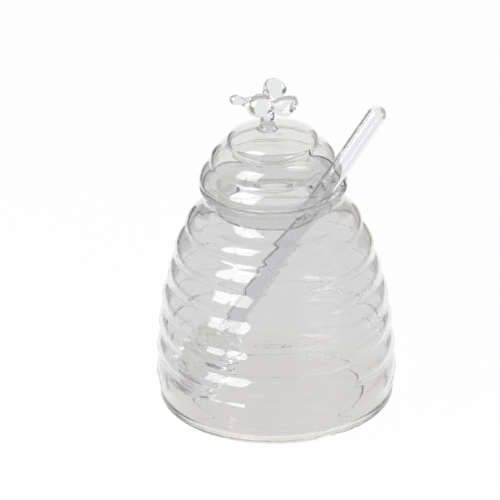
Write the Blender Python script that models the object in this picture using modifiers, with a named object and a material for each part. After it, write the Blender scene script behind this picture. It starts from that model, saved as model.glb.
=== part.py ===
"""Beehive honey pot of clear blown glass, in metres, +Z up.

A ribbed jar stands on the ground plane with its axis on Z. A loose ribbed lid sits on the jar's
flared lip, located by a short skirt in the neck. A notch in the lid's flange, on the +X side, lets
the handle of a glass honey dipper out of the closed pot. A lampworked bee is the lid's knob.

The origin is the middle of the foot, on the ground. +X points at the notch.
"""

import math

import bmesh
import bpy
from mathutils import Matrix, Vector

MM = 0.001

# Glass
GLASS_IOR = 1.47
GLASS_ROUGHNESS = 0.02
JAR_TINT = (0.93, 0.95, 0.94)
LID_TINT = (0.92, 0.95, 0.94)
BEE_TINT = (0.94, 0.95, 0.95)
DIPPER_TINT = (0.93, 0.94, 0.95)

# Fits and overruns
FIT_GAP = 0.3 * MM
CUT_OVERRUN = 4.0 * MM
MERGE_DISTANCE = 0.01 * MM

# Jar, outside
BODY_RADIUS = 54.4 * MM
SHOULDER_HEIGHT = 91.8 * MM
SHOULDER_RADIUS = 34.3 * MM
LIP_HEIGHT = 105.2 * MM
LIP_RADIUS = 33.0 * MM
NECK_WAIST_DEPTH = 3.9 * MM
BASE_CORNER_RADIUS = 4.6 * MM
FOOT_INNER_RADIUS = 40.0 * MM
FOOT_KICK = 0.9 * MM

# Jar, glass thickness
JAR_WALL = 2.0 * MM
FLOOR_THICKNESS = 2.8 * MM
FLOOR_CORNER_RADIUS = 4.0 * MM
SHOULDER_SLOPE = math.radians(45.0)

# Ribs of the jar, from the shoulder down: the groove under each rib, and how far the rib swells
RIB_GROOVE_HEIGHT_SHARES = (0.901, 0.770, 0.644, 0.499, 0.360, 0.241, 0.100)
RIB_GROOVE_RADIUS_SHARES = (0.721, 0.820, 0.877, 0.926, 0.935, 0.960, 0.975)
RIB_SWELL = 2.5 * MM
RIB_SWELL_SHARES = (1.10, 0.98, 0.66, 0.80, 0.88, 0.94, 0.68)

# Lid
LID_WALL = 1.8 * MM
FLANGE_RADIUS = 33.5 * MM
FLANGE_EDGE_RADIUS = 1.3 * MM
FLANGE_HEIGHT = 9.3 * MM
FLANGE_SWELL = 1.5 * MM
LOWER_GROOVE_RADIUS = 28.2 * MM
UPPER_RIB_HEIGHT = 8.9 * MM
UPPER_RIB_SWELL = 3.1 * MM
UPPER_GROOVE_RADIUS = 19.9 * MM
DOME_RADIUS = 20.7 * MM
DOME_NECK_HEIGHT = 3.4 * MM
DOME_HEIGHT = 6.0 * MM
SKIRT_RADIUS = 25.0 * MM
SKIRT_LENGTH = 12.0 * MM

# Notch in the lid's flange and skirt
NOTCH_WIDTH = 22.8 * MM
NOTCH_HEIGHT = 18.0 * MM
NOTCH_INNER_REACH = 12.0 * MM

# Dipper
HEAD_RADIUS = 14.0 * MM
HEAD_LENGTH = 33.0 * MM
HEAD_END_RADIUS = 8.5 * MM
HEAD_RIB_COUNT = 6
HEAD_GROOVE_DEPTH = 2.6 * MM
HEAD_RIB_SHARES = ((0.0, 1.0), (0.22, 0.12), (0.5, 0.0), (0.78, 0.12))
HANDLE_RADIUS = 4.4 * MM
HANDLE_BORE_RADIUS = 3.0 * MM
DIPPER_LENGTH = 168.0 * MM
STUB_LENGTH = 8.0 * MM
STUB_SHOULDER_LENGTH = 3.0 * MM
HEAD_COLLAR_WIDTH = 1.5 * MM
HEAD_REACH_SHARE = 0.65
HEAD_TURN = math.radians(51.7)
HANDLE_SIDE_SHIFT = -0.4 * MM

# Bee knob
BEE_HEADING = math.radians(230.4)
FOOT_OFFSET = 2.2 * MM
FOOT_RADIUS = 3.2 * MM
FOOT_FLARE_RADIUS = 5.2 * MM
FOOT_FLARE_HEIGHT = 3.0 * MM
FOOT_FLARE_HOLLOW = 0.5 * MM
BEE_BODY_FORWARD = 2.9 * MM
BEE_BODY_RISE = 11.0 * MM
BEE_BODY_LENGTH = 13.0 * MM
BEE_BODY_WIDTH = 9.8 * MM
BEE_BODY_HEIGHT = 10.2 * MM
BEE_HEAD_RADIUS = 2.45 * MM
BEE_HEAD_REACH = 15.0 * MM
BEE_NECK_RADIUS = 2.3 * MM
BEE_NECK_ROOT_SHARE = 0.25
BEE_HEAD_RISE = math.radians(19.6)
WING_LENGTH = 15.4 * MM
WING_WIDTH = 13.6 * MM
WING_THICKNESS = 5.0 * MM
WING_ROOT_REACH = 4.6 * MM
WING_ROOT_SHARE = 0.50
WING_SWEEP = math.radians(132.0)
WING_RISE = math.radians(12.0)
LEFT_WING_TWIST = math.radians(40.0)
RIGHT_WING_TWIST = math.radians(32.0)

# Facets
JAR_STEPS = 36
LID_STEPS = 36
DIPPER_STEPS = 20
BEE_STEPS = 16
BEE_RINGS = 10
RIB_FACETS = 5
INNER_RIB_FACETS = 4
EDGE_FACETS = 4

# Search for the dipper's lean
LEAN_ROUNDS = 12
LEAN_HALVINGS = 24
RING_SAMPLES = 90

# Worked-out heights
LID_SEAT_HEIGHT = LIP_HEIGHT + FIT_GAP
LOWER_GROOVE_HEIGHT = LID_SEAT_HEIGHT + FLANGE_HEIGHT
UPPER_GROOVE_HEIGHT = LOWER_GROOVE_HEIGHT + UPPER_RIB_HEIGHT
DOME_WIDEST_HEIGHT = UPPER_GROOVE_HEIGHT + DOME_NECK_HEIGHT
DOME_TOP_HEIGHT = DOME_WIDEST_HEIGHT + DOME_HEIGHT
SKIRT_BOTTOM_HEIGHT = LID_SEAT_HEIGHT - SKIRT_LENGTH
BEE_BODY_CENTRE_HEIGHT = DOME_TOP_HEIGHT + BEE_BODY_RISE


def clear_scene():
    """Remove every object, mesh and curve that the file starts with."""
    for item in list(bpy.data.objects):
        bpy.data.objects.remove(item, do_unlink=True)
    for mesh in list(bpy.data.meshes):
        bpy.data.meshes.remove(mesh)
    for curve in list(bpy.data.curves):
        bpy.data.curves.remove(curve)


def new_collection(name):
    """Make a collection in the scene."""
    collection = bpy.data.collections.new(name)
    bpy.context.scene.collection.children.link(collection)
    return collection


def glass_material(name, tint):
    """Make a clear glass material with a faint tint."""
    material = bpy.data.materials.new(name)
    material.use_nodes = True
    shader = material.node_tree.nodes["Principled BSDF"]
    shader.inputs["Base Color"].default_value = (*tint, 1.0)
    shader.inputs["Roughness"].default_value = GLASS_ROUGHNESS
    shader.inputs["Metallic"].default_value = 0.0
    shader.inputs["Transmission Weight"].default_value = 1.0
    shader.inputs["IOR"].default_value = GLASS_IOR
    return material


def arc_between(start, end, swell, facets):
    """Points of a circular arc from start up to, and without, end.

    A positive swell bulges to the left of the way from start to end, seen with the radius to the
    right and height up: outwards where the profile runs down.
    """
    start = Vector(start)
    end = Vector(end)
    chord = end - start
    if swell == 0.0:
        return [tuple(start.lerp(end, step / facets)) for step in range(facets)]
    outward = Vector((-chord.y, chord.x)).normalized()
    half = chord.length / 2.0
    radius = (half * half + swell * swell) / (2.0 * abs(swell))
    middle = (start + end) / 2.0
    centre = middle + outward * (swell - math.copysign(radius, swell))
    start_angle = math.atan2(start.y - centre.y, start.x - centre.x)
    end_angle = math.atan2(end.y - centre.y, end.x - centre.x)
    sweep = (end_angle - start_angle + math.pi) % (2.0 * math.pi) - math.pi
    points = []
    for step in range(facets):
        angle = start_angle + sweep * step / facets
        points.append((centre.x + radius * math.cos(angle), centre.y + radius * math.sin(angle)))
    return points


def ellipse_arc(centre, radii, start_angle, sweep, facets):
    """Points of an ellipse's arc, both ends included."""
    points = []
    for step in range(facets + 1):
        angle = start_angle + sweep * step / facets
        radius = centre[0] + radii[0] * math.cos(angle)
        height = centre[1] + radii[1] * math.sin(angle)
        points.append((radius, height))
    return points


def turned(name, profile, steps, material, collection):
    """Turn a profile of (radius, height) points about the local Z axis."""
    mesh = bpy.data.meshes.new(name)
    vertices = [(max(radius, 0.0), 0.0, height) for radius, height in profile]
    edges = [(index, index + 1) for index in range(len(vertices) - 1)]
    mesh.from_pydata(vertices, edges, [])
    piece = bpy.data.objects.new(name, mesh)
    collection.objects.link(piece)
    screw = piece.modifiers.new("turn", "SCREW")
    screw.axis = "Z"
    screw.angle = 2.0 * math.pi
    screw.steps = steps
    screw.render_steps = steps
    screw.use_merge_vertices = True
    screw.merge_threshold = MERGE_DISTANCE
    screw.use_smooth_shade = True
    mesh.materials.append(material)
    return piece


def cut(piece, cutter):
    """Cut a piece with a closed cutter."""
    boolean = piece.modifiers.new("cut_" + cutter.name, "BOOLEAN")
    boolean.operation = "DIFFERENCE"
    boolean.solver = "EXACT"
    boolean.object = cutter


def hide_cutter(cutter):
    """Show a cutter as wire only, and keep it out of renders."""
    cutter.hide_render = True
    cutter.display_type = "WIRE"


def ellipsoid(name, radii, collection, material=None):
    """Make an ellipsoid about its own origin."""
    mesh = bpy.data.meshes.new(name)
    shape = bmesh.new()
    bmesh.ops.create_uvsphere(shape, u_segments=BEE_STEPS, v_segments=BEE_RINGS, radius=1.0)
    bmesh.ops.scale(shape, vec=radii, verts=shape.verts)
    shape.to_mesh(mesh)
    shape.free()
    mesh.shade_smooth()
    if material:
        mesh.materials.append(material)
    piece = bpy.data.objects.new(name, mesh)
    collection.objects.link(piece)
    return piece


def rib_grooves(inset):
    """The (radius, height) of the groove under each rib, moved inwards by inset."""
    grooves = []
    for radius_share, height_share in zip(RIB_GROOVE_RADIUS_SHARES, RIB_GROOVE_HEIGHT_SHARES):
        grooves.append((BODY_RADIUS * radius_share - inset, SHOULDER_HEIGHT * height_share))
    return grooves


def rib_stack(shoulder, inset, facets):
    """Points down the ribs, from the shoulder to the last groove."""
    points = []
    start = shoulder
    for groove, swell_share in zip(rib_grooves(inset), RIB_SWELL_SHARES):
        points += arc_between(start, groove, RIB_SWELL * swell_share, facets)
        start = groove
    return points + [start]


def lip_bead():
    """Centre (radius, height) and radius of the jar's round lip."""
    bead_radius = JAR_WALL / 2.0
    return (LIP_RADIUS - bead_radius, LIP_HEIGHT - bead_radius), bead_radius


def jar_outside():
    """Outer profile of the jar, from the lip down to the middle of the foot."""
    (bead_x, bead_z), bead_radius = lip_bead()
    points = arc_between((bead_x + bead_radius, bead_z), (SHOULDER_RADIUS, SHOULDER_HEIGHT),
                         -NECK_WAIST_DEPTH, 2 * EDGE_FACETS)
    points += rib_stack((SHOULDER_RADIUS, SHOULDER_HEIGHT), 0.0, RIB_FACETS)
    corner_x = rib_grooves(0.0)[-1][0] - BASE_CORNER_RADIUS
    points += ellipse_arc((corner_x, BASE_CORNER_RADIUS), (BASE_CORNER_RADIUS, BASE_CORNER_RADIUS),
                          0.0, -math.pi / 2.0, EDGE_FACETS)
    points.append((FOOT_INNER_RADIUS, 0.0))
    points.append((FOOT_INNER_RADIUS - FOOT_KICK, FOOT_KICK))
    points.append((0.0, FOOT_KICK))
    return points


def jar_inside():
    """Inner profile of the jar, from the lip down to the middle of the floor."""
    (bead_x, bead_z), bead_radius = lip_bead()
    inner_shoulder = (SHOULDER_RADIUS - JAR_WALL * math.sin(SHOULDER_SLOPE),
                      SHOULDER_HEIGHT - JAR_WALL * math.cos(SHOULDER_SLOPE))
    points = arc_between((bead_x - bead_radius, bead_z), inner_shoulder,
                         -NECK_WAIST_DEPTH, 2 * EDGE_FACETS)
    points += rib_stack(inner_shoulder, JAR_WALL, INNER_RIB_FACETS)
    corner = (inner_floor_radius() - FLOOR_CORNER_RADIUS, FLOOR_THICKNESS + FLOOR_CORNER_RADIUS)
    points += ellipse_arc(corner, (FLOOR_CORNER_RADIUS, FLOOR_CORNER_RADIUS),
                          0.0, -math.pi / 2.0, EDGE_FACETS)[1:]
    points.append((0.0, FLOOR_THICKNESS))
    return points


def inner_floor_radius():
    """Inner radius of the jar's straight wall above the floor's rounded corner."""
    return rib_grooves(JAR_WALL)[-1][0]


def jar_profile():
    """Closed section of the jar: up the inside, over the lip, down the outside."""
    (bead_x, bead_z), bead_radius = lip_bead()
    lip = ellipse_arc((bead_x, bead_z), (bead_radius, bead_radius),
                      math.pi, -math.pi, 2 * EDGE_FACETS)
    return list(reversed(jar_inside()))[:-1] + lip + jar_outside()[1:]


def lid_outside():
    """Outer profile of the lid, from the top of the dome down to the skirt's rim."""
    flange_edge = (FLANGE_RADIUS - FLANGE_EDGE_RADIUS, LID_SEAT_HEIGHT + FLANGE_EDGE_RADIUS)
    points = ellipse_arc((0.0, DOME_WIDEST_HEIGHT), (DOME_RADIUS, DOME_HEIGHT),
                         math.pi / 2.0, -math.pi / 2.0, 2 * RIB_FACETS)[:-1]
    points += arc_between((DOME_RADIUS, DOME_WIDEST_HEIGHT), (UPPER_GROOVE_RADIUS, UPPER_GROOVE_HEIGHT),
                          0.0, 1)
    points += arc_between((UPPER_GROOVE_RADIUS, UPPER_GROOVE_HEIGHT),
                          (LOWER_GROOVE_RADIUS, LOWER_GROOVE_HEIGHT), UPPER_RIB_SWELL, RIB_FACETS + 1)
    points += arc_between((LOWER_GROOVE_RADIUS, LOWER_GROOVE_HEIGHT), (FLANGE_RADIUS, flange_edge[1]),
                          FLANGE_SWELL, RIB_FACETS)
    points += ellipse_arc(flange_edge, (FLANGE_EDGE_RADIUS, FLANGE_EDGE_RADIUS),
                          0.0, -math.pi / 2.0, EDGE_FACETS)
    points.append((SKIRT_RADIUS + LID_WALL, LID_SEAT_HEIGHT))
    points.append((SKIRT_RADIUS, LID_SEAT_HEIGHT - LID_WALL))
    return points


def lid_inside():
    """Inner profile of the lid, from the skirt's rim up to the top of the dome."""
    fold_height = LID_SEAT_HEIGHT + LID_WALL
    fold_radius = FLANGE_RADIUS - LID_WALL - FLANGE_EDGE_RADIUS
    points = [(SKIRT_RADIUS - LID_WALL, fold_height), (fold_radius, fold_height)]
    points += reversed(arc_between((LOWER_GROOVE_RADIUS - LID_WALL, LOWER_GROOVE_HEIGHT),
                                   (fold_radius + LID_WALL / 2.0, fold_height + FLANGE_EDGE_RADIUS),
                                   FLANGE_SWELL / 2.0, INNER_RIB_FACETS))
    points += reversed(arc_between((UPPER_GROOVE_RADIUS - LID_WALL, UPPER_GROOVE_HEIGHT),
                                   (LOWER_GROOVE_RADIUS - LID_WALL, LOWER_GROOVE_HEIGHT),
                                   UPPER_RIB_SWELL, RIB_FACETS))
    points += reversed(ellipse_arc((0.0, DOME_WIDEST_HEIGHT),
                                   (DOME_RADIUS - LID_WALL, DOME_HEIGHT - LID_WALL),
                                   math.pi / 2.0, -math.pi / 2.0, 2 * INNER_RIB_FACETS))
    return points


def lid_profile():
    """Closed section of the lid: down the outside, round the skirt's rim, up the inside."""
    rim_radius = LID_WALL / 2.0
    rim_centre = (SKIRT_RADIUS - rim_radius, SKIRT_BOTTOM_HEIGHT + rim_radius)
    rim = ellipse_arc(rim_centre, (rim_radius, rim_radius), 0.0, -math.pi, EDGE_FACETS)
    return lid_outside() + rim + lid_inside()


def notch_cutter(collection):
    """Arch-topped block that cuts the notch through the lid's flange and skirt on the +X side."""
    half_width = NOTCH_WIDTH / 2.0
    spring_height = LID_SEAT_HEIGHT
    outline = [(-half_width, SKIRT_BOTTOM_HEIGHT - CUT_OVERRUN)]
    outline += reversed(ellipse_arc((0.0, spring_height), (half_width, NOTCH_HEIGHT),
                                    0.0, math.pi, 3 * EDGE_FACETS))
    outline.append((half_width, SKIRT_BOTTOM_HEIGHT - CUT_OVERRUN))
    curve = bpy.data.curves.new("notch_outline", "CURVE")
    curve.dimensions = "2D"
    curve.fill_mode = "BOTH"
    reach = FLANGE_RADIUS + CUT_OVERRUN - NOTCH_INNER_REACH
    curve.extrude = reach / 2.0
    spline = curve.splines.new("POLY")
    spline.points.add(len(outline) - 1)
    for point, (across, height) in zip(spline.points, outline):
        point.co = (across, height, 0.0, 1.0)
    spline.use_cyclic_u = True
    outline_object = bpy.data.objects.new("notch_outline", curve)
    collection.objects.link(outline_object)
    outline_object.matrix_world = (Matrix.Translation((NOTCH_INNER_REACH + reach / 2.0, 0.0, 0.0))
                                   @ Matrix.Rotation(math.pi / 2.0, 4, "Z")
                                   @ Matrix.Rotation(math.pi / 2.0, 4, "X"))
    return curve_to_mesh(outline_object, "notch_cutter", collection)


def curve_to_mesh(source, name, collection):
    """Replace a curve object by a closed mesh object in the same place."""
    bpy.context.view_layer.update()
    evaluated = source.evaluated_get(bpy.context.evaluated_depsgraph_get())
    mesh = bpy.data.meshes.new_from_object(evaluated)
    shape = bmesh.new()
    shape.from_mesh(mesh)
    bmesh.ops.remove_doubles(shape, verts=shape.verts, dist=MERGE_DISTANCE)
    bmesh.ops.recalc_face_normals(shape, faces=shape.faces)
    shape.to_mesh(mesh)
    shape.free()
    piece = bpy.data.objects.new(name, mesh)
    collection.objects.link(piece)
    piece.matrix_world = source.matrix_world.copy()
    bpy.data.objects.remove(source, do_unlink=True)
    return piece


def head_outline():
    """Outer profile of the dipper's grooved head about its own middle, top to bottom."""
    rib_length = HEAD_LENGTH / HEAD_RIB_COUNT
    half_length = HEAD_LENGTH / 2.0
    points = []
    for rib in range(HEAD_RIB_COUNT):
        for share, depth_share in HEAD_RIB_SHARES:
            height = half_length - (rib + share) * rib_length
            barrel = math.sqrt(max(1.0 - (height / half_length) ** 2, 0.0))
            envelope = HEAD_END_RADIUS + (HEAD_RADIUS - HEAD_END_RADIUS) * barrel
            points.append((envelope - HEAD_GROOVE_DEPTH * depth_share, height))
    points[0] = (HANDLE_RADIUS + HEAD_COLLAR_WIDTH, half_length)
    points.append((HEAD_END_RADIUS - HEAD_GROOVE_DEPTH, -half_length))
    return points


def head_profile():
    """Section of the head with the stub that plugs into the handle's bore."""
    half_length = HEAD_LENGTH / 2.0
    shoulder_height = half_length + STUB_SHOULDER_LENGTH
    stub_radius = HANDLE_BORE_RADIUS - FIT_GAP
    stub = [(0.0, shoulder_height + STUB_LENGTH),
            (stub_radius, shoulder_height + STUB_LENGTH),
            (stub_radius, shoulder_height),
            (HANDLE_RADIUS, shoulder_height)]
    return stub + head_outline() + [(0.0, -half_length)]


def handle_profile():
    """Section of the handle: a tube with a round closed top, open over the head's stub."""
    bottom = HEAD_LENGTH / 2.0 + STUB_SHOULDER_LENGTH + FIT_GAP
    top = DIPPER_LENGTH - HEAD_LENGTH / 2.0
    outer = ellipse_arc((0.0, top - HANDLE_RADIUS), (HANDLE_RADIUS, HANDLE_RADIUS),
                        math.pi / 2.0, -math.pi / 2.0, EDGE_FACETS + 1)
    bore = ellipse_arc((0.0, top - HANDLE_RADIUS), (HANDLE_BORE_RADIUS, HANDLE_BORE_RADIUS),
                       0.0, math.pi / 2.0, EDGE_FACETS)
    return outer + [(HANDLE_RADIUS, bottom), (HANDLE_BORE_RADIUS, bottom)] + bore


def head_drop(lean):
    """How far the head's lowest point lies below its middle when the dipper leans."""
    return max(radius * math.sin(lean) - height * math.cos(lean) for radius, height in head_outline())


def neck_rings():
    """Rings (radius, height) of the jar's inner neck and lip, drawn in to the middle of a facet."""
    (bead_x, bead_z), bead_radius = lip_bead()
    lip = ellipse_arc((bead_x, bead_z), (bead_radius, bead_radius), math.pi, -math.pi / 2.0,
                      EDGE_FACETS)
    neck = jar_inside()[:2 * EDGE_FACETS]
    facet_share = math.cos(math.pi / JAR_STEPS)
    return [(radius * facet_share, height) for radius, height in neck + lip]


def gap_to_neck(point, direction):
    """Least gap between the handle's skin and the jar's neck, for an axis through a point."""
    least = math.inf
    for radius, height in neck_rings():
        for step in range(-RING_SAMPLES, RING_SAMPLES + 1):
            angle = math.pi / 2.0 * step / RING_SAMPLES
            on_ring = Vector((radius * math.cos(angle), radius * math.sin(angle), height))
            least = min(least, (on_ring - point).cross(direction).length)
    return least - HANDLE_RADIUS


def dipper_place():
    """Middle of the dipper's head and the direction of its axis.

    The head rests on the floor and the handle leans on the lip inside the notch, so the lean
    follows from the jar, the head and the handle.
    """
    reach = inner_floor_radius() * HEAD_REACH_SHARE
    plan_angle = math.pi + HEAD_TURN
    head_height = FLOOR_THICKNESS + HEAD_LENGTH / 2.0
    direction = Vector((0.0, 0.0, 1.0))
    for _ in range(LEAN_ROUNDS):
        middle = Vector((reach * math.cos(plan_angle), reach * math.sin(plan_angle), head_height))
        low, high = 0.0, LIP_RADIUS
        for _ in range(LEAN_HALVINGS):
            trial = (low + high) / 2.0
            aim = Vector((trial, HANDLE_SIDE_SHIFT, LIP_HEIGHT))
            direction = (aim - middle).normalized()
            if gap_to_neck(middle, direction) > FIT_GAP:
                low = trial
            else:
                high = trial
        lean = math.acos(direction.z)
        head_height = FLOOR_THICKNESS + FIT_GAP + head_drop(lean)
    middle.z = head_height
    return middle, direction


def make_jar(collection, material):
    """The ribbed jar."""
    return turned("jar", jar_profile(), JAR_STEPS, material, collection)


def make_lid(collection, cutters, material):
    """The ribbed lid with the notch in its flange and skirt."""
    lid = turned("lid_dome", lid_profile(), LID_STEPS, material, collection)
    notch = notch_cutter(cutters)
    hide_cutter(notch)
    cut(lid, notch)
    return lid


def make_dipper(collection, material):
    """The dipper's grooved head and hollow handle, on an empty whose Z is the dipper's axis."""
    middle, direction = dipper_place()
    axis = bpy.data.objects.new("dipper_axis", None)
    collection.objects.link(axis)
    axis.matrix_world = Matrix.Translation(middle) @ direction.to_track_quat("Z", "Y").to_matrix().to_4x4()
    head = turned("dipper_head", head_profile(), DIPPER_STEPS, material, collection)
    handle = turned("dipper_handle", handle_profile(), DIPPER_STEPS, material, collection)
    for piece in (head, handle):
        piece.parent = axis
    return axis


def bee_frame():
    """Place of the bee's body: its middle, with local X along the heading."""
    ahead = Vector((math.cos(BEE_HEADING), math.sin(BEE_HEADING), 0.0))
    middle = ahead * (FOOT_OFFSET + BEE_BODY_FORWARD)
    middle.z = BEE_BODY_CENTRE_HEIGHT
    return Matrix.Translation(middle) @ Matrix.Rotation(BEE_HEADING, 4, "Z")


def dome_height_at(radius):
    """Height of the dome's outside at a radius from the pot's axis."""
    return DOME_WIDEST_HEIGHT + DOME_HEIGHT * math.sqrt(1.0 - (radius / DOME_RADIUS) ** 2)


def make_foot(collection, cutters, material, body_cutter):
    """The short glass stem that carries the bee on the dome."""
    base = dome_height_at(FOOT_OFFSET + FOOT_FLARE_RADIUS) - FIT_GAP
    top = BEE_BODY_CENTRE_HEIGHT
    profile = [(0.0, top), (FOOT_RADIUS, top)]
    profile += arc_between((FOOT_RADIUS, dome_height_at(FOOT_OFFSET) + FOOT_FLARE_HEIGHT),
                           (FOOT_FLARE_RADIUS, base), -FOOT_FLARE_HOLLOW, EDGE_FACETS)
    profile += [(FOOT_FLARE_RADIUS, base), (0.0, base)]
    foot = turned("knob_foot", profile, BEE_STEPS, material, collection)
    foot.location = (FOOT_OFFSET * math.cos(BEE_HEADING), FOOT_OFFSET * math.sin(BEE_HEADING), 0.0)
    dome = ellipse_arc((0.0, DOME_WIDEST_HEIGHT), (DOME_RADIUS, DOME_HEIGHT),
                       math.pi / 2.0, -math.pi / 2.0, 2 * RIB_FACETS)
    lifted = [(radius, height + FIT_GAP) for radius, height in dome]
    lifted += [(DOME_RADIUS, UPPER_GROOVE_HEIGHT), (0.0, UPPER_GROOVE_HEIGHT)]
    dome_cutter = turned("dome_cutter", lifted, LID_STEPS, material, cutters)
    hide_cutter(dome_cutter)
    cut(foot, dome_cutter)
    cut(foot, body_cutter)
    return foot


def bee_body_radii(extra):
    """Half sizes of the bee's body, grown by extra all round."""
    return (BEE_BODY_LENGTH / 2.0 + extra, BEE_BODY_WIDTH / 2.0 + extra, BEE_BODY_HEIGHT / 2.0 + extra)


def make_bee_head(collection, material, body_cutter):
    """The bee's head: a round bead that runs back into the body as a thick neck."""
    bead_centre = BEE_HEAD_REACH - BEE_HEAD_RADIUS
    profile = ellipse_arc((0.0, bead_centre), (BEE_HEAD_RADIUS, BEE_HEAD_RADIUS),
                          math.pi / 2.0, -math.pi / 2.0, EDGE_FACETS)
    neck_height = (bead_centre + BEE_BODY_LENGTH / 2.0) / 2.0
    profile.append((BEE_NECK_RADIUS, neck_height))
    profile.append((BEE_HEAD_RADIUS, BEE_BODY_LENGTH / 2.0))
    profile.append((BEE_HEAD_RADIUS, BEE_BODY_LENGTH * BEE_NECK_ROOT_SHARE))
    profile.append((0.0, BEE_BODY_LENGTH * BEE_NECK_ROOT_SHARE))
    head = turned("bee_head", profile, BEE_STEPS, material, collection)
    head.matrix_world = bee_frame() @ Matrix.Rotation(math.pi / 2.0 - BEE_HEAD_RISE, 4, "Y")
    cut(head, body_cutter)
    return head


def make_wing(name, side, twist, collection, material, body_cutter):
    """A wing: a flattened pad that narrows to its root on the body. side is 1 for the left."""
    wing = ellipsoid(name, (WING_LENGTH / 2.0, WING_WIDTH / 2.0, WING_THICKNESS / 2.0), collection,
                     material)
    for vertex in wing.data.vertices:
        out_share = 0.5 + vertex.co.x / WING_LENGTH
        vertex.co.y *= WING_ROOT_SHARE + (1.0 - WING_ROOT_SHARE) * out_share
        vertex.co.x += WING_ROOT_REACH + WING_LENGTH / 2.0
    wing.matrix_world = (bee_frame() @ Matrix.Rotation(side * WING_SWEEP, 4, "Z")
                         @ Matrix.Rotation(-WING_RISE, 4, "Y") @ Matrix.Rotation(twist, 4, "X"))
    cut(wing, body_cutter)
    return wing


def make_bee(collection, cutters, material):
    """The lampworked bee on its foot."""
    body = ellipsoid("bee_body", bee_body_radii(0.0), collection, material)
    body.matrix_world = bee_frame()
    body_cutter = ellipsoid("bee_body_cutter", bee_body_radii(FIT_GAP), cutters)
    body_cutter.matrix_world = bee_frame()
    hide_cutter(body_cutter)
    return [
        body,
        make_foot(collection, cutters, material, body_cutter),
        make_bee_head(collection, material, body_cutter),
        make_wing("bee_wing_left", 1.0, LEFT_WING_TWIST, collection, material, body_cutter),
        make_wing("bee_wing_right", -1.0, RIGHT_WING_TWIST, collection, material, body_cutter),
    ]


def main():
    """Build the honey pot."""
    clear_scene()
    pot = new_collection("honey_pot")
    cutters = new_collection("cutters")
    make_jar(pot, glass_material("jar_glass", JAR_TINT))
    lid = make_lid(pot, cutters, glass_material("lid_glass", LID_TINT))
    knob = make_bee(pot, cutters, glass_material("bee_glass", BEE_TINT))
    dipper = make_dipper(pot, glass_material("dipper_glass", DIPPER_TINT))
    bpy.context.view_layer.update()
    for piece in knob:
        placed = piece.matrix_world.copy()
        piece.parent = lid
        piece.matrix_world = placed
    bpy.context.view_layer.update()
    axis = dipper.matrix_world
    print("dipper head middle", tuple(round(value, 5) for value in axis.translation))
    print("dipper axis", tuple(round(value, 5) for value in axis.col[2][:3]))


main()
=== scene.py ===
"""Looks of the clear glass beehive honey pot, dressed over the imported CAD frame.

Every piece is blown or lampworked glass. Turned pieces are made as on the lathe: one point of the
section is added, extruded along the section, and spun round its axis.
"""

import logging
import math
from dataclasses import dataclass, field
from enum import Enum

import bpy
from mathutils import Matrix, Vector

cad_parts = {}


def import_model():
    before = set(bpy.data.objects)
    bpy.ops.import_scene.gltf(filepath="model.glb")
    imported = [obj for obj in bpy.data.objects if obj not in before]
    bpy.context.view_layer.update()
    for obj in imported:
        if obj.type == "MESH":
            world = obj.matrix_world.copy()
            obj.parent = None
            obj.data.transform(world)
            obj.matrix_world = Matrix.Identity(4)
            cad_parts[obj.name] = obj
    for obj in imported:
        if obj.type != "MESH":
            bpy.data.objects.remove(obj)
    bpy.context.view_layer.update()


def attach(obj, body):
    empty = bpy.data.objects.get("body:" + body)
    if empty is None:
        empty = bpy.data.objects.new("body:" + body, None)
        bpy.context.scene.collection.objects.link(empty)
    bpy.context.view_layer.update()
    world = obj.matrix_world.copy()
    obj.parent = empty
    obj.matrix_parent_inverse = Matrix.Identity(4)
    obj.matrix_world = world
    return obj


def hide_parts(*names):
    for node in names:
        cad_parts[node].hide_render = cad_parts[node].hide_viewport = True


LOG = logging.getLogger("honey_pot")
MM = 0.001
FULL_TURN = 2.0 * math.pi
QUARTER_TURN = math.pi / 2.0
MERGE_DISTANCE = 0.002 * MM
Section = list[tuple[float, float]]


class Spin(Enum):
    """How many facets a turned piece has round its axis."""

    LARGE = 160
    SMALL = 96
    BEAD = 32


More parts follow.
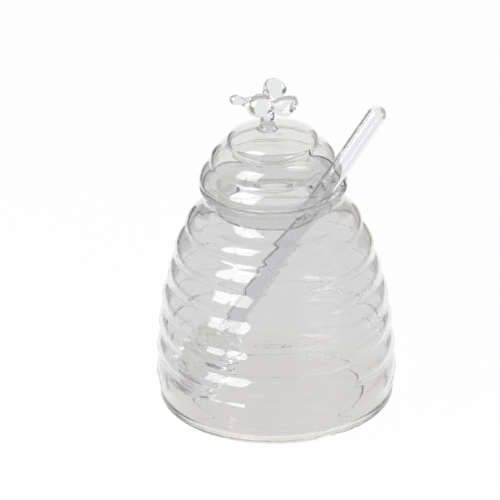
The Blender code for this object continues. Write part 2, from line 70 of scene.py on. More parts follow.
@dataclass(frozen=True)
class GlassFinish:
    """Clear glass: its tint, how it bends light, the soft waves left by the flame, and for some a
    painted shade of the floor low in the foot.
    """

    name: str
    tint: tuple[float, float, float]
    ior: float = 1.47
    roughness: float = 0.0
    wave_size: float = 9.0 * MM
    wave_height: float = 0.05 * MM
    stretch: tuple[float, float, float] = (1.0, 1.0, 3.0)
    shadow: float = 0.9
    # painted shade: a darker, warmer tint low in the foot, standing in for the shaded floor seen
    # through the glass
    floor_shade_tint: tuple[float, float, float] | None = None
    floor_shade_height: float = 4.0 * MM
    floor_shade_fade: float = 1.5

    def paint_floor_shade(self, tree: bpy.types.NodeTree, shader: bpy.types.Node) -> None:
        """Paint shade into the foot's glass: darker and warmer towards the bottom, standing in for
        the shaded floor seen through the wall.

        Args:
            tree: The material's node tree.
            shader: Its glass shader.
        """
        place = tree.nodes.new("ShaderNodeTexCoord")
        split = tree.nodes.new("ShaderNodeSeparateXYZ")
        # mask of the painted floor shade: full up to the foot's height, fading out above it
        rise = tree.nodes.new("ShaderNodeMapRange")
        rise.inputs["From Min"].default_value = self.floor_shade_height
        rise.inputs["From Max"].default_value = self.floor_shade_height * self.floor_shade_fade
        blend = tree.nodes.new("ShaderNodeMix")
        blend.data_type = "RGBA"
        blend.inputs["A"].default_value = (*self.floor_shade_tint, 1.0)
        blend.inputs["B"].default_value = (*self.tint, 1.0)
        tree.links.new(place.outputs["Object"], split.inputs["Vector"])
        tree.links.new(split.outputs["Z"], rise.inputs["Value"])
        tree.links.new(rise.outputs["Result"], blend.inputs["Factor"])
        tree.links.new(blend.outputs["Result"], shader.inputs["Base Color"])

    def build(self, waves: bpy.types.NodeTree) -> bpy.types.Material:
        """Make the material.

        Args:
            waves: The shared node group of the glass's uneven surface.

        Returns:
            The finished glass material.
        """
        material = bpy.data.materials.new(self.name)
        material.use_nodes = True
        nodes = material.node_tree.nodes
        links = material.node_tree.links
        shader = nodes["Principled BSDF"]
        shader.inputs["Base Color"].default_value = (*self.tint, 1.0)
        shader.inputs["Roughness"].default_value = self.roughness
        shader.inputs["IOR"].default_value = self.ior
        shader.inputs["Transmission Weight"].default_value = 1.0
        if self.floor_shade_tint:
            self.paint_floor_shade(material.node_tree, shader)
        place = nodes.new("ShaderNodeTexCoord")
        uneven = nodes.new("ShaderNodeGroup")
        uneven.node_tree = waves
        uneven.inputs["Size"].default_value = self.wave_size
        uneven.inputs["Stretch"].default_value = self.stretch
        bump = nodes.new("ShaderNodeBump")
        bump.inputs["Strength"].default_value = 1.0
        bump.inputs["Distance"].default_value = self.wave_height
        links.new(place.outputs["Object"], uneven.inputs["Place"])
        links.new(uneven.outputs["Height"], bump.inputs["Height"])
        links.new(bump.outputs["Normal"], shader.inputs["Normal"])
        clear = nodes.new("ShaderNodeBsdfTransparent")
        clear.inputs["Color"].default_value = (self.shadow, self.shadow, self.shadow, 1.0)
        path = nodes.new("ShaderNodeLightPath")
        mixer = nodes.new("ShaderNodeMixShader")
        links.new(path.outputs["Is Shadow Ray"], mixer.inputs[0])
        links.new(shader.outputs["BSDF"], mixer.inputs[1])
        links.new(clear.outputs["BSDF"], mixer.inputs[2])
        links.new(mixer.outputs["Shader"], nodes["Material Output"].inputs["Surface"])
        return material


def glass_waves() -> bpy.types.NodeTree:
    """Make the shared node group of soft waves in hand-made glass.

    Returns:
        A shader node group with Place, Size and Stretch in, and Height out.
    """
    group = bpy.data.node_groups.new("glass_waves", "ShaderNodeTree")
    group.interface.new_socket("Place", in_out="INPUT", socket_type="NodeSocketVector")
    group.interface.new_socket("Size", in_out="INPUT", socket_type="NodeSocketFloat")
    group.interface.new_socket("Stretch", in_out="INPUT", socket_type="NodeSocketVector")
    group.interface.new_socket("Height", in_out="OUTPUT", socket_type="NodeSocketFloat")
    nodes = group.nodes
    links = group.links
    source = nodes.new("NodeGroupInput")
    result = nodes.new("NodeGroupOutput")
    stretched = nodes.new("ShaderNodeVectorMath")
    stretched.operation = "MULTIPLY"
    scale = nodes.new("ShaderNodeMath")
    scale.operation = "DIVIDE"
    scale.inputs[0].default_value = 1.0
    broad = nodes.new("ShaderNodeTexNoise")
    broad.inputs["Detail"].default_value = 1.5
    broad.inputs["Roughness"].default_value = 0.4
    links.new(source.outputs["Place"], stretched.inputs[0])
    links.new(source.outputs["Stretch"], stretched.inputs[1])
    links.new(source.outputs["Size"], scale.inputs[1])
    links.new(stretched.outputs["Vector"], broad.inputs["Vector"])
    links.new(scale.outputs["Value"], broad.inputs["Scale"])
    links.new(broad.outputs["Fac"], result.inputs["Height"])
    return group


def deselect_all() -> None:
    """Leave edit mode and deselect every object."""
    if bpy.context.mode != "OBJECT":
        bpy.ops.object.mode_set(mode="OBJECT")
    bpy.ops.object.select_all(action="DESELECT")


def arc_between(start: tuple[float, float], end: tuple[float, float], swell: float,
                facets: int) -> Section:
    """Points of a circular arc from start up to, and without, end.

    Args:
        start: First (radius, height).
        end: Last (radius, height), left out.
        swell: How far the arc bulges to the left of the way.
        facets: Number of points.

    Returns:
        The arc's points.
    """
    first = Vector(start)
    last = Vector(end)
    chord = last - first
    if swell == 0.0:
        return [tuple(first.lerp(last, step / facets)) for step in range(facets)]
    outward = Vector((-chord.y, chord.x)).normalized()
    half = chord.length / 2.0
    radius = (half * half + swell * swell) / (2.0 * abs(swell))
    centre = (first + last) / 2.0 + outward * (swell - math.copysign(radius, swell))
    start_angle = math.atan2(first.y - centre.y, first.x - centre.x)
    end_angle = math.atan2(last.y - centre.y, last.x - centre.x)
    sweep = (end_angle - start_angle + math.pi) % FULL_TURN - math.pi
    return [(centre.x + radius * math.cos(start_angle + sweep * step / facets),
             centre.y + radius * math.sin(start_angle + sweep * step / facets))
            for step in range(facets)]


def ellipse_arc(centre: tuple[float, float], radii: tuple[float, float], start: float, sweep: float,
                facets: int) -> Section:
    """Points of an ellipse's arc, both ends included.

    Args:
        centre: Middle of the ellipse.
        radii: Half sizes.
        start: First angle.
        sweep: Angle turned through.
        facets: Number of steps.

    Returns:
        The arc's points.
    """
    return [(centre[0] + radii[0] * math.cos(start + sweep * step / facets),
             centre[1] + radii[1] * math.sin(start + sweep * step / facets))
            for step in range(facets + 1)]


def soften(section: Section, spacing: float, rounds: int) -> Section:
    """Space a section's points evenly and let the flame round its creases.

    Args:
        section: Points of the section.
        spacing: Distance between the new points.
        rounds: How often each point moves to the mean of its neighbours.

    Returns:
        The evenly spaced and rounded section, with its ends kept.
    """
    lengths = [0.0]
    for before, after in zip(section, section[1:]):
        lengths.append(lengths[-1] + math.dist(before, after))
    count = max(int(lengths[-1] / spacing), 8)
    points: Section = []
    index = 0
    for step in range(count + 1):
        target = lengths[-1] * step / count
        while index < len(lengths) - 2 and lengths[index + 1] < target:
            index += 1
        span = lengths[index + 1] - lengths[index]
        share = (target - lengths[index]) / span if span else 0.0
        (ax, az), (bx, bz) = section[index], section[index + 1]
        points.append((ax + (bx - ax) * share, az + (bz - az) * share))
    for _ in range(rounds):
        points = [points[0]] + [
            ((a[0] + 2.0 * b[0] + c[0]) / 4.0, (a[1] + 2.0 * b[1] + c[1]) / 4.0)
            for a, b, c in zip(points, points[1:], points[2:])] + [points[-1]]
    return points


def offset_section(section: Section, distance: float) -> Section:
    """Move a section sideways, to its right, to give a wall the same thickness all along.

    Args:
        section: Points of the section.
        distance: How far each point moves.

    Returns:
        The moved points.
    """
    moved: Section = []
    last = len(section) - 1
    for index, (radius, height) in enumerate(section):
        before = section[max(index - 1, 0)]
        after = section[min(index + 1, last)]
        along = Vector((after[0] - before[0], after[1] - before[1])).normalized()
        moved.append((radius + along.y * distance, height - along.x * distance))
    return moved


def turn_section(name: str, section: Section, steps: int,
                 sweep: float = FULL_TURN) -> bpy.types.Object:
    """Turn a section about Z: one point is extruded along it and spun.

    Args:
        name: Name of the new piece.
        section: (radius, height) points.
        steps: Facets round the axis.
        sweep: Angle turned through, from +X towards +Y.

    Returns:
        The turned piece, its seam merged and its faces pointing outwards.
    """
    deselect_all()
    bpy.ops.mesh.primitive_plane_add(size=MM, location=(0.0, 0.0, 0.0))
    piece = bpy.context.object
    piece.name = name
    piece.data.name = name
    bpy.ops.object.mode_set(mode="EDIT")
    bpy.ops.mesh.select_all(action="SELECT")
    bpy.ops.mesh.merge(type="CENTER")
    bpy.ops.mesh.select_all(action="SELECT")
    bpy.ops.transform.translate(value=(section[0][0], 0.0, section[0][1]))
    for before, after in zip(section, section[1:]):
        bpy.ops.mesh.extrude_region_move(
            TRANSFORM_OT_translate={"value": (after[0] - before[0], 0.0, after[1] - before[1])})
    bpy.ops.mesh.select_all(action="SELECT")
    bpy.ops.mesh.spin(steps=steps, angle=sweep, center=(0.0, 0.0, 0.0), axis=(0.0, 0.0, 1.0))
    bpy.ops.mesh.select_all(action="SELECT")
    bpy.ops.mesh.remove_doubles(threshold=MERGE_DISTANCE)
    bpy.ops.mesh.normals_make_consistent(inside=False)
    bpy.ops.object.mode_set(mode="OBJECT")
    bpy.ops.object.shade_smooth()
    return piece


def place_mesh(piece: bpy.types.Object, place: Matrix) -> None:
    """Put a piece's place into its mesh, with the object left at the origin.

    Args:
        piece: The piece, made about the origin.
        place: Where it goes.
    """
    piece.data.transform(place)
    piece.data.update()


@dataclass
class Jar:
    """The ribbed jar with its flared lip and pushed-up foot."""

    glass: bpy.types.Material
    body_radius: float = 54.4 * MM
    shoulder: tuple[float, float] = (34.3 * MM, 91.8 * MM)
    lip: tuple[float, float] = (33.0 * MM, 105.2 * MM)
    waist_depth: float = 3.9 * MM
    wall: float = 1.7 * MM
    floor: float = 2.8 * MM
    spacing: float = 0.45 * MM
    crease_rounds: int = 14
    base_corner: float = 4.6 * MM
    floor_corner: float = 4.0 * MM
    foot_inner: float = 40.0 * MM
    kick: float = 0.9 * MM
    rib_swell: float = 2.5 * MM
    groove_heights: tuple[float, ...] = (0.901, 0.770, 0.644, 0.499, 0.360, 0.241, 0.100)
    groove_radii: tuple[float, ...] = (0.721, 0.820, 0.877, 0.926, 0.935, 0.960, 0.975)
    swells: tuple[float, ...] = (1.10, 0.98, 0.66, 0.80, 0.88, 0.94, 0.68)
    floor_shares: tuple[float, ...] = (0.97, 0.9, 0.6, 0.3, 0.0)
    foot_shares: tuple[float, ...] = (0.92, 0.85, 0.5, 0.25, 0.0)
    waist_facets: int = 24
    rib_facets: int = 16
    corner_facets: int = 10
    floor_facets: int = 12
    kick_facets: int = 5

    def ribs(self, start: tuple[float, float]) -> Section:
        """Go down the ribs, from the shoulder to the lowest groove.

        Args:
            start: (radius, height) of the shoulder.

        Returns:
            The section's points, the lowest groove included.
        """
        points: Section = []
        for radius, height, swell in zip(self.groove_radii, self.groove_heights, self.swells):
            end = (self.body_radius * radius, self.shoulder[1] * height)
            points += arc_between(start, end, self.rib_swell * swell, self.rib_facets)
            start = end
        return points + [start]

    def section(self) -> Section:
        """Draw the wall: up the inside, over the lip, down the outside and under the foot.

        Returns:
            The points of the closed section, which begins and ends on the axis.
        """
        bead = self.wall / 2.0
        bead_centre = (self.lip[0] - bead, self.lip[1] - bead)
        outside = arc_between((bead_centre[0] + bead, bead_centre[1]), self.shoulder,
                              -self.waist_depth, self.waist_facets)
        outside += self.ribs(self.shoulder)
        corner = outside[-1][0] - self.base_corner
        outside += ellipse_arc((corner, self.base_corner), (self.base_corner, self.base_corner),
                               0.0, -QUARTER_TURN, self.corner_facets)
        outside = soften(outside, self.spacing, self.crease_rounds)
        inside = offset_section(outside, self.wall)
        inside = [point for point in inside if point[1] > self.floor + self.floor_corner]
        inner_corner = (inside[-1][0] - self.floor_corner, self.floor + self.floor_corner)
        inside += ellipse_arc(inner_corner, (self.floor_corner, self.floor_corner), 0.0,
                              -QUARTER_TURN, self.floor_facets)
        inside += [(share * inner_corner[0], self.floor) for share in self.floor_shares]
        lip = ellipse_arc(bead_centre, (bead, bead), math.pi, -math.pi, self.corner_facets)
        rise = ellipse_arc((self.foot_inner, self.kick / 2.0), (self.kick, self.kick / 2.0),
                           -QUARTER_TURN, -QUARTER_TURN, self.kick_facets)
        fall = ellipse_arc((self.foot_inner - 2.0 * self.kick, self.kick / 2.0),
                           (self.kick, self.kick / 2.0), 0.0, QUARTER_TURN, self.kick_facets)
        flat = [(corner - self.kick, 0.0), (self.foot_inner + self.kick, 0.0), *rise, *fall[1:]]
        flat += [(share * self.foot_inner, self.kick) for share in self.foot_shares]
        return list(reversed(inside)) + lip[1:-1] + outside + flat

    def build(self) -> bpy.types.Object:
        """Make the jar, in place of its CAD node.

        Returns:
            The finished jar, riding on its own body.
        """
        piece = turn_section("jar_glass", self.section(), Spin.LARGE.value)
        piece.data.materials.append(self.glass)
        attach(piece, "jar")
        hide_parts("jar")
        LOG.info("jar_glass: %d faces", len(piece.data.polygons))
        return piece


@dataclass
class Lid:
    """The loose ribbed lid: one blown sheet, folded at the flange and cut by an arched notch."""

    glass: bpy.types.Material
    wall: float = 1.2 * MM
    seat: float = 105.5 * MM
    flange_radius: float = 33.5 * MM
    flange_edge: float = 1.3 * MM
    lower_groove: tuple[float, float] = (28.2 * MM, 114.8 * MM)
    upper_groove: tuple[float, float] = (19.9 * MM, 123.7 * MM)
    flange_swell: float = 1.5 * MM
    upper_swell: float = 3.1 * MM
    dome_radius: float = 20.7 * MM
    dome_widest: float = 127.1 * MM
    dome_height: float = 6.0 * MM
    skirt_radius: float = 25.0 * MM
    skirt_length: float = 12.0 * MM
    notch_width: float = 22.8 * MM
    notch_height: float = 18.0 * MM
    spacing: float = 0.42 * MM
    crease_rounds: int = 16
    seam: float = 0.0005
    pole_radius: float = 0.01 * MM
    rim_share: float = 0.36
    rim_segments: int = 3
    rim_angle: float = math.radians(50.0)
    dome_facets: int = 24
    rib_facets: int = 20
    edge_facets: int = 6

    def section(self) -> Section:
        """Draw the sheet's middle line, from the top of the dome down to the skirt's rim.

        Returns:
            The points of the open section.
        """
        half = self.wall / 2.0
        dome = (self.dome_radius - half, self.dome_height - half)
        points = ellipse_arc((0.0, self.dome_widest), dome, QUARTER_TURN, -QUARTER_TURN,
                             self.dome_facets)
        upper = (self.upper_groove[0] - half, self.upper_groove[1])
        lower = (self.lower_groove[0] - half, self.lower_groove[1])
        edge = self.flange_edge - half
        edge_centre = (self.flange_radius - self.flange_edge, self.seat + self.flange_edge)
        points += arc_between(upper, lower, self.upper_swell, self.rib_facets)
        points += arc_between(lower, (edge_centre[0] + edge, edge_centre[1]), self.flange_swell,
                              self.rib_facets)
        points += ellipse_arc(edge_centre, (edge, edge), 0.0, -QUARTER_TURN, self.edge_facets)
        skirt = self.skirt_radius - half
        turn = self.wall
        points += ellipse_arc((skirt + turn, self.seat + half - turn), (turn, turn), QUARTER_TURN,
                              QUARTER_TURN, self.edge_facets)
        points.append((skirt, self.seat - self.skirt_length))
        return soften(points, self.spacing, self.crease_rounds)

    def notch_half_width(self, height: float) -> float:
        """Measure the notch at a height: an arch over straight sides.

        Args:
            height: Height above the ground.

        Returns:
            Half of the notch's width there, and 0 above its top.
        """
        rise = (height - self.seat) / self.notch_height
        if rise >= 1.0:
            return 0.0
        return self.notch_width / 2.0 * math.sqrt(1.0 - max(rise, 0.0) ** 2)

    def open_notch(self, piece: bpy.types.Object) -> None:
        """Draw the turned sheet's seam apart like a curtain, to the outline of the notch.

        Args:
            piece: The turned sheet, whose seam at +X is still open by the angle of seam.
        """
        for vertex in piece.data.vertices:
            radius = math.hypot(vertex.co.x, vertex.co.y)
            if radius < self.pole_radius:
                continue
            angle = math.atan2(vertex.co.y, vertex.co.x) % FULL_TURN
            width = min(self.notch_half_width(vertex.co.z) / radius, 1.0)
            edge = math.asin(width)
            turned = edge + angle * (FULL_TURN - 2.0 * edge) / (FULL_TURN - self.seam)
            vertex.co.x = radius * math.cos(turned)
            vertex.co.y = radius * math.sin(turned)

    def build(self) -> bpy.types.Object:
        """Make the lid, in place of its CAD node.

        Returns:
            The finished lid, riding on its own body.
        """
        piece = turn_section("lid_glass", self.section(), Spin.LARGE.value, FULL_TURN - self.seam)
        self.open_notch(piece)
        deselect_all()
        piece.select_set(True)
        bpy.context.view_layer.objects.active = piece
        bpy.ops.object.mode_set(mode="EDIT")
        bpy.ops.mesh.select_all(action="SELECT")
        bpy.ops.mesh.remove_doubles(threshold=self.pole_radius)
        bpy.ops.mesh.normals_make_consistent(inside=False)
        bpy.ops.object.mode_set(mode="OBJECT")
        shell = piece.modifiers.new("wall", "SOLIDIFY")
        shell.thickness = self.wall
        shell.offset = 0.0
        shell.use_even_offset = True
        rim = piece.modifiers.new("fire_polish", "BEVEL")
        rim.width = self.wall * self.rim_share
        rim.segments = self.rim_segments
        rim.limit_method = "ANGLE"
        rim.angle_limit = self.rim_angle
        rim.use_clamp_overlap = False
        for modifier in (shell, rim):
            bpy.ops.object.modifier_apply(modifier=modifier.name)
        bpy.ops.object.shade_smooth()
        piece.data.materials.append(self.glass)
        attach(piece, "lid")
        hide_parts("lid_dome")
        LOG.info("lid_glass: %d faces", len(piece.data.polygons))
        return piece


@dataclass
class Bee:
    """The lampworked bee knob: body, head and two wings fused on a short foot."""

    glass: bpy.types.Material
    heading: float = math.radians(230.4)
    foot_offset: float = 2.2 * MM
    foot_radius: float = 3.2 * MM
    flare_radius: float = 5.2 * MM
    body_forward: float = 2.9 * MM
    body_height: float = 144.0 * MM
    dome_top: float = 133.1 * MM
    body_size: tuple[float, float, float] = (13.6 * MM, 10.6 * MM, 10.8 * MM)
    head_radius: float = 2.45 * MM
    head_reach: float = 15.0 * MM
    head_rise: float = math.radians(19.6)
    wing_size: tuple[float, float, float] = (15.4 * MM, 13.6 * MM, 5.0 * MM)
    wing_root: float = 4.6 * MM
    wing_share: float = 0.5
    wing_sweep: float = math.radians(132.0)
    wing_rise: float = math.radians(12.0)
    twists: tuple[float, float] = (math.radians(40.0), math.radians(32.0))
    neck: Section = field(default_factory=lambda: [(0.78, 0.8), (0.8, 0.65), (1.2, 0.45),
                                                   (1.0, 0.2), (0.0, 0.2)])
    foot_sink: float = 1.1 * MM
    foot_rise: float = 3.0 * MM
    foot_flare: float = 0.5 * MM
    ball_facets: tuple[int, int] = (48, 24)
    bead_facets: int = 12
    flare_facets: int = 8
    voxel: float = 0.3 * MM
    flow_share: float = 0.5
    flow_rounds: int = 12

    def frame(self) -> Matrix:
        """Find the place of the bee's body: its middle, with X along the heading.

        Returns:
            The matrix from the body's own axes to the pot's.
        """
        ahead = Vector((math.cos(self.heading), math.sin(self.heading), 0.0))
        middle = ahead * (self.foot_offset + self.body_forward)
        middle.z = self.body_height
        return Matrix.Translation(middle) @ Matrix.Rotation(self.heading, 4, "Z")

    def gather(self, name: str, size: tuple[float, float, float]) -> bpy.types.Object:
        """Add a gather of glass: a ball drawn out to three sizes.

        Args:
            name: Name of the new piece.
            size: Full sizes.

        Returns:
            The ball about the origin.
        """
        deselect_all()
        around, rings = self.ball_facets
        bpy.ops.mesh.primitive_uv_sphere_add(segments=around, ring_count=rings, radius=0.5,
                                             location=(0.0, 0.0, 0.0))
        ball = bpy.context.object
        ball.name = name
        bpy.ops.object.mode_set(mode="EDIT")
        bpy.ops.mesh.select_all(action="SELECT")
        bpy.ops.transform.resize(value=size)
        bpy.ops.object.mode_set(mode="OBJECT")
        return ball

    def wing(self, name: str, side: float, twist: float) -> bpy.types.Object:
        """Make one wing: a flattened pad that narrows to its root on the body.

        Args:
            name: Name of the new piece.
            side: 1 for the wing to the left of the heading, -1 for the right one.
            twist: Angle that the pad is turned by about its length.

        Returns:
            The wing in its place.
        """
        pad = self.gather(name, self.wing_size)
        length = self.wing_size[0]
        for vertex in pad.data.vertices:
            out = 0.5 + vertex.co.x / length
            vertex.co.y *= self.wing_share + (1.0 - self.wing_share) * out
            vertex.co.x += self.wing_root + length / 2.0
        place_mesh(pad, self.frame() @ Matrix.Rotation(side * self.wing_sweep, 4, "Z")
                   @ Matrix.Rotation(-self.wing_rise, 4, "Y") @ Matrix.Rotation(twist, 4, "X"))
        return pad

    def head(self) -> bpy.types.Object:
        """Make the head: a bead on a thick neck.

        Returns:
            The head in its place.
        """
        bead = self.head_reach - self.head_radius
        section = ellipse_arc((0.0, bead), (self.head_radius, self.head_radius), QUARTER_TURN,
                              -QUARTER_TURN, self.bead_facets)
        section += [(self.head_radius * width, bead * height) for width, height in self.neck]
        item = turn_section("bee_head", section, Spin.BEAD.value)
        place_mesh(item, self.frame() @ Matrix.Rotation(QUARTER_TURN - self.head_rise, 4, "Y"))
        return item

    def foot(self) -> bpy.types.Object:
        """Make the foot: a short stem that flares where it is fused to the dome.

        Returns:
            The foot in its place.
        """
        base = self.dome_top - self.foot_sink
        section = [(0.0, self.body_height), (self.foot_radius, self.body_height)]
        section += arc_between((self.foot_radius, self.dome_top + self.foot_rise),
                               (self.flare_radius, base), -self.foot_flare, self.flare_facets)
        section += [(self.flare_radius, base), (0.0, base)]
        item = turn_section("bee_foot", section, Spin.BEAD.value)
        place_mesh(item, Matrix.Translation((self.foot_offset * math.cos(self.heading),
                                             self.foot_offset * math.sin(self.heading), 0.0)))
        return item

    def build(self) -> bpy.types.Object:
        """Fuse the gathers into one bee, in place of its CAD nodes.

        Returns:
            The finished bee, riding on the lid's body.
        """
        body = self.gather("bee_glass", self.body_size)
        place_mesh(body, self.frame())
        others = [self.head(), self.foot(), self.wing("left", 1.0, self.twists[0]),
                  self.wing("right", -1.0, self.twists[1])]
        deselect_all()
        for item in [body, *others]:
            item.select_set(True)
        bpy.context.view_layer.objects.active = body
        bpy.ops.object.join()
        fused = body.modifiers.new("fused", "REMESH")
        fused.mode = "VOXEL"
        fused.voxel_size = self.voxel
        flow = body.modifiers.new("flow", "SMOOTH")
        flow.factor = self.flow_share
        flow.iterations = self.flow_rounds
        for modifier in (fused, flow):
            bpy.ops.object.modifier_apply(modifier=modifier.name)
        bpy.ops.object.shade_smooth()
        body.data.materials.clear()
        body.data.materials.append(self.glass)
        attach(body, "lid")
        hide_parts("knob_foot", "bee_body", "bee_head", "bee_wing_left", "bee_wing_right")
        LOG.info("bee_glass: %d faces", len(body.data.polygons))
        return body


@dataclass
class Dipper:
    """The honey dipper: a grooved head fused to a hollow handle with a round closed end."""

    glass: bpy.types.Material
    middle: tuple[float, float, float] = (-0.02056, -0.02604, 0.0215)
    axis: tuple[float, float, float] = (0.4654, 0.25921, 0.84629)
    length: float = 168.0 * MM
    head_radius: float = 14.0 * MM
    head_length: float = 33.0 * MM
    end_radius: float = 8.5 * MM
    ribs: int = 6
    groove_depth: float = 2.6 * MM
    handle_radius: float = 4.4 * MM
    bore_radius: float = 3.3 * MM
    shoulder: float = 3.0 * MM
    shoulder_width: float = 1.5 * MM
    groove_power: int = 3
    rib_facets: int = 20
    spacing: float = 0.35 * MM
    crease_rounds: int = 4
    end_facets: int = 12
    bore_facets: int = 10

    def head_section(self) -> Section:
        """Draw the grooved head, from its shoulder down to its end.

        Returns:
            The points of the head's outer section.
        """
        half = self.head_length / 2.0
        points: Section = []
        for step in range(self.ribs * self.rib_facets + 1):
            along = step / self.rib_facets
            height = half - self.head_length * along / self.ribs
            barrel = math.sqrt(max(1.0 - (height / half) ** 2, 0.0))
            envelope = self.end_radius + (self.head_radius - self.end_radius) * barrel
            groove = abs(math.cos(math.pi * along)) ** self.groove_power
            points.append((envelope - self.groove_depth * groove, height))
        points[0] = (self.handle_radius + self.shoulder_width, half)
        return points

    def section(self) -> Section:
        """Draw the outside, from the handle's round top down to the head's end.

        Returns:
            The points of the outer section, which begins and ends on the axis.
        """
        half = self.head_length / 2.0
        top = self.length - half
        end = (self.handle_radius, self.handle_radius)
        outer = ellipse_arc((0.0, top - self.handle_radius), end, QUARTER_TURN, -QUARTER_TURN,
                            self.end_facets)
        outer += [(self.handle_radius, half + self.shoulder), *self.head_section(), (0.0, -half)]
        return soften(outer, self.spacing, self.crease_rounds)

    def bore(self) -> Section:
        """Draw the sealed bore, from its round top down to the head's shoulder.

        Returns:
            The points of the bore's section.
        """
        half = self.head_length / 2.0
        top = self.length - half - self.handle_radius
        end = (self.bore_radius, self.bore_radius)
        points = ellipse_arc((0.0, top), end, QUARTER_TURN, -QUARTER_TURN, self.bore_facets)
        points += ellipse_arc((0.0, half + self.bore_radius), end, 0.0, -QUARTER_TURN,
                              self.bore_facets)
        return points

    def build(self) -> bpy.types.Object:
        """Make the dipper, in place of its CAD nodes.

        Returns:
            The finished dipper, riding on its own body.
        """
        piece = turn_section("dipper_glass", self.section(), Spin.SMALL.value)
        hollow = turn_section("dipper_bore", self.bore(), Spin.SMALL.value)
        deselect_all()
        hollow.select_set(True)
        bpy.context.view_layer.objects.active = hollow
        bpy.ops.object.mode_set(mode="EDIT")
        bpy.ops.mesh.select_all(action="SELECT")
        bpy.ops.mesh.normals_make_consistent(inside=True)
        bpy.ops.object.mode_set(mode="OBJECT")
        piece.select_set(True)
        bpy.context.view_layer.objects.active = piece
        bpy.ops.object.join()
        turn = Vector(self.axis).normalized().to_track_quat("Z", "Y").to_matrix().to_4x4()
        place_mesh(piece, Matrix.Translation(self.middle) @ turn)
        piece.data.materials.clear()
        piece.data.materials.append(self.glass)
        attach(piece, "dipper")
        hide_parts("dipper_handle", "dipper_head")
        LOG.info("dipper_glass: %d faces", len(piece.data.polygons))
        return piece


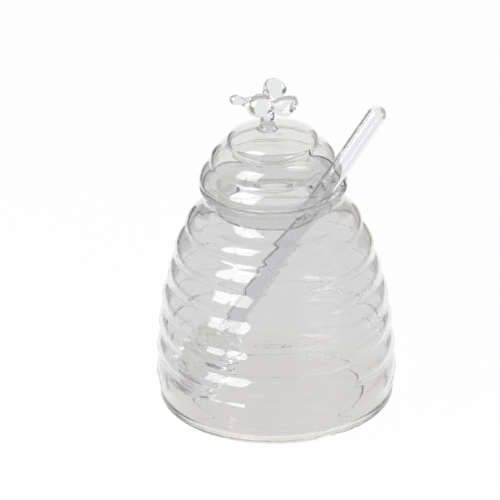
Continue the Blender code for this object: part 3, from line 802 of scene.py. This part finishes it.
@dataclass
class Studio:
    """Floor, window, side cards, surroundings and camera of the product photograph."""

    camera_distance: float = 2.205
    camera_azimuth: float = math.radians(36.0)
    camera_elevation: float = math.radians(25.42)
    look_at: tuple[float, float, float] = (0.0, 0.0, 0.0675)
    lens: float = 352.8
    sensor: float = 36.0
    clip_end: float = 20.0
    shift: tuple[float, float] = (-0.0492, 0.0199)
    roll: float = math.radians(0.935)
    fill: float = 0.55
    aim_height: float = 0.06
    pane_azimuths: tuple[float, float] = (-60.5, -38.5)
    pane_elevation: float = 35.0
    pane_size: tuple[float, float] = (0.31, 0.95)
    pane_power: float = 4.0
    pane_distance: float = 0.9
    floor_colour: tuple[float, float, float] = (0.86, 0.85, 0.83)
    floor_size: float = 12.0
    floor_drop: float = 0.05 * MM
    floor_roughness: float = 0.85
    floor_glow: float = 0.95
    card_elevation: float = 8.0
    card_roughness: float = 0.9
    card_distance: float = 0.45
    card_azimuth: float = 143.0
    card_size: tuple[float, float] = (0.30, 0.30)
    strip_size: tuple[float, float] = (0.20, 0.60)
    strip_reach: float = 0.30
    strip_near: float = 0.1
    strip_height: float = MM
    left_card: tuple[float, float, float] = (0.22, 0.22, 0.225)
    right_card: tuple[float, float, float] = (0.42, 0.37, 0.33)
    light_bounces: int = 32

    def camera(self) -> None:
        """Place the camera at the photograph's viewing angle."""
        data = bpy.data.cameras.new("camera")
        data.lens = self.lens
        data.sensor_width = self.sensor
        data.shift_x, data.shift_y = self.shift
        data.clip_end = self.clip_end
        item = bpy.data.objects.new("camera", data)
        bpy.context.collection.objects.link(item)
        back = Vector((math.sin(self.camera_azimuth) * math.cos(self.camera_elevation),
                       -math.cos(self.camera_azimuth) * math.cos(self.camera_elevation),
                       math.sin(self.camera_elevation)))
        turn = (-back).to_track_quat("-Z", "Y").to_matrix().to_4x4()
        item.matrix_world = (Matrix.Translation(Vector(self.look_at) + back * self.camera_distance)
                             @ turn @ Matrix.Rotation(-self.roll, 4, "Z"))
        bpy.context.scene.camera = item

    def seen_directly(self, tree: bpy.types.NodeTree) -> bpy.types.NodeSocket:
        """Add a mask of the rays that see the background: the camera's, and those in glass.

        Args:
            tree: The node tree that the mask is added to.

        Returns:
            A socket that is 1 for camera, glossy and transmission rays, and else 0.
        """
        path = tree.nodes.new("ShaderNodeLightPath")
        first = tree.nodes.new("ShaderNodeMath")
        first.operation = "MAXIMUM"
        second = tree.nodes.new("ShaderNodeMath")
        second.operation = "MAXIMUM"
        tree.links.new(path.outputs["Is Camera Ray"], first.inputs[0])
        tree.links.new(path.outputs["Is Glossy Ray"], first.inputs[1])
        tree.links.new(first.outputs[0], second.inputs[0])
        tree.links.new(path.outputs["Is Transmission Ray"], second.inputs[1])
        return second.outputs[0]

    def world(self) -> None:
        """White surroundings, seen through and in the glass too, and dimmer as a light."""
        world = bpy.data.worlds.new("studio")
        world.use_nodes = True
        tree = world.node_tree
        back = tree.nodes["Background"]
        back.inputs["Color"].default_value = (1.0, 1.0, 1.0, 1.0)
        strength = tree.nodes.new("ShaderNodeMapRange")
        strength.inputs["To Min"].default_value = self.fill
        strength.inputs["To Max"].default_value = 1.0
        tree.links.new(self.seen_directly(tree), strength.inputs["Value"])
        tree.links.new(strength.outputs["Result"], back.inputs["Strength"])
        bpy.context.scene.world = world

    def aim(self, azimuth: float, elevation: float, distance: float) -> Matrix:
        """Place facing the pot, by angles round the pot that count from the camera.

        Args:
            azimuth: Degrees to the right of the camera, seen from it.
            elevation: Degrees above the floor.
            distance: Metres from the pot.

        Returns:
            A matrix whose -Z looks at the pot.
        """
        turn = self.camera_azimuth + math.radians(azimuth)
        rise = math.radians(elevation)
        back = Vector((math.sin(turn) * math.cos(rise), -math.cos(turn) * math.cos(rise),
                       math.sin(rise)))
        facing = (-back).to_track_quat("-Z", "Y").to_matrix().to_4x4()
        return Matrix.Translation(Vector((0.0, 0.0, self.aim_height)) + back * distance) @ facing

    def window(self) -> None:
        """Light from two tall window panes at the left, with a thin bar between them."""
        for number, azimuth in enumerate(self.pane_azimuths):
            data = bpy.data.lights.new(f"pane_{number}", "AREA")
            data.shape = "RECTANGLE"
            data.size, data.size_y = self.pane_size
            data.energy = self.pane_power
            item = bpy.data.objects.new(f"pane_{number}", data)
            bpy.context.collection.objects.link(item)
            item.matrix_world = self.aim(azimuth, self.pane_elevation, self.pane_distance)

    def side_card(self, name: str, azimuth: float, colour: tuple[float, float, float]) -> None:
        """Stand a card beside the pot and lay a strip on the floor, for the glass's darker edges.

        Both show in the glass alone: the camera doesn't see them, and they cast no shadow.

        Args:
            name: Name of the card, and the start of the strip's.
            azimuth: Degrees to the right of the camera.
            colour: Colour of both.
        """
        deselect_all()
        bpy.ops.mesh.primitive_plane_add(size=1.0, location=(0.0, 0.0, 0.0))
        card = bpy.context.object
        card.name = name
        card.data.transform(self.aim(azimuth, self.card_elevation, self.card_distance)
                            @ Matrix.Diagonal((*self.card_size, 1.0, 1.0)))
        bpy.ops.mesh.primitive_plane_add(size=1.0, location=(0.0, 0.0, 0.0))
        strip = bpy.context.object
        strip.name = name + "_strip"
        side = math.copysign(self.strip_reach, azimuth)
        behind = self.strip_size[1] / 2.0 - self.strip_near
        strip.data.transform(Matrix.Rotation(self.camera_azimuth, 4, "Z")
                             @ Matrix.Translation((side, behind, self.strip_height))
                             @ Matrix.Diagonal((*self.strip_size, 1.0, 1.0)))
        material = bpy.data.materials.new(name)
        material.use_nodes = True
        shader = material.node_tree.nodes["Principled BSDF"]
        shader.inputs["Base Color"].default_value = (*colour, 1.0)
        shader.inputs["Roughness"].default_value = self.card_roughness
        for item in (card, strip):
            item.data.materials.append(material)
            item.visible_camera = False
            item.visible_shadow = False
            item.visible_diffuse = False

    def floor(self) -> None:
        """Lay a white floor that keeps part of its shading, and so the pot's soft shadow."""
        deselect_all()
        bpy.ops.mesh.primitive_plane_add(size=self.floor_size, location=(0.0, 0.0, 0.0))
        ground = bpy.context.object
        ground.name = "floor"
        place_mesh(ground, Matrix.Translation((0.0, 0.0, -self.floor_drop)))
        material = bpy.data.materials.new("floor")
        material.use_nodes = True
        tree = material.node_tree
        shader = tree.nodes["Principled BSDF"]
        shader.inputs["Base Color"].default_value = (*self.floor_colour, 1.0)
        shader.inputs["Roughness"].default_value = self.floor_roughness
        glow = tree.nodes.new("ShaderNodeEmission")
        share = tree.nodes.new("ShaderNodeMath")
        share.operation = "MULTIPLY"
        share.inputs[1].default_value = self.floor_glow
        mixer = tree.nodes.new("ShaderNodeMixShader")
        tree.links.new(self.seen_directly(tree), share.inputs[0])
        tree.links.new(share.outputs[0], mixer.inputs[0])
        tree.links.new(shader.outputs["BSDF"], mixer.inputs[1])
        tree.links.new(glow.outputs["Emission"], mixer.inputs[2])
        tree.links.new(mixer.outputs["Shader"], tree.nodes["Material Output"].inputs["Surface"])
        ground.data.materials.append(material)

    def follow_light(self) -> None:
        """Follow light through all the walls of glass, so that no edge ends in false black."""
        cycles = bpy.context.scene.cycles
        cycles.max_bounces = self.light_bounces
        cycles.transmission_bounces = self.light_bounces
        cycles.glossy_bounces = self.light_bounces
        cycles.transparent_max_bounces = self.light_bounces

    def build(self) -> None:
        """Set up the whole studio."""
        self.camera()
        self.world()
        self.floor()
        self.window()
        self.side_card("left_card", -self.card_azimuth, self.left_card)
        self.side_card("right_card", self.card_azimuth, self.right_card)
        bpy.context.scene.view_settings.view_transform = "Standard"
        self.follow_light()


@dataclass
class HoneyPot:
    """The whole pot: jar, lid, bee and dipper."""

    glass: dict[str, bpy.types.Material] = field(default_factory=dict)

    def build(self) -> None:
        """Make the finishes and every sub-assembly."""
        waves = glass_waves()
        finishes = {
            "jar": GlassFinish("clear_jar_glass", (0.81, 0.812, 0.815), wave_height=0.08 * MM,
                               # painted shade of the floor, seen through the jar's foot
                               floor_shade_tint=(0.80, 0.785, 0.745)),
            "lid": GlassFinish("clear_lid_glass", (0.87, 0.872, 0.865)),
            "bee": GlassFinish("clear_bee_glass", (0.80, 0.81, 0.81), wave_size=2.5 * MM,
                               stretch=(1.0, 1.0, 1.0)),
            "dipper": GlassFinish("clear_dipper_glass", (0.90, 0.90, 0.91), wave_height=0.0),
        }
        self.glass = {name: finish.build(waves) for name, finish in finishes.items()}
        Jar(self.glass["jar"]).build()
        Lid(self.glass["lid"]).build()
        Bee(self.glass["bee"]).build()
        Dipper(self.glass["dipper"]).build()


def main() -> None:
    """Dress the frame and set up the studio."""
    logging.basicConfig(level=logging.INFO, format="%(message)s")
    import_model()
    HoneyPot().build()
    Studio().build()
    bpy.context.view_layer.update()


if __name__ == "__main__":
    main()
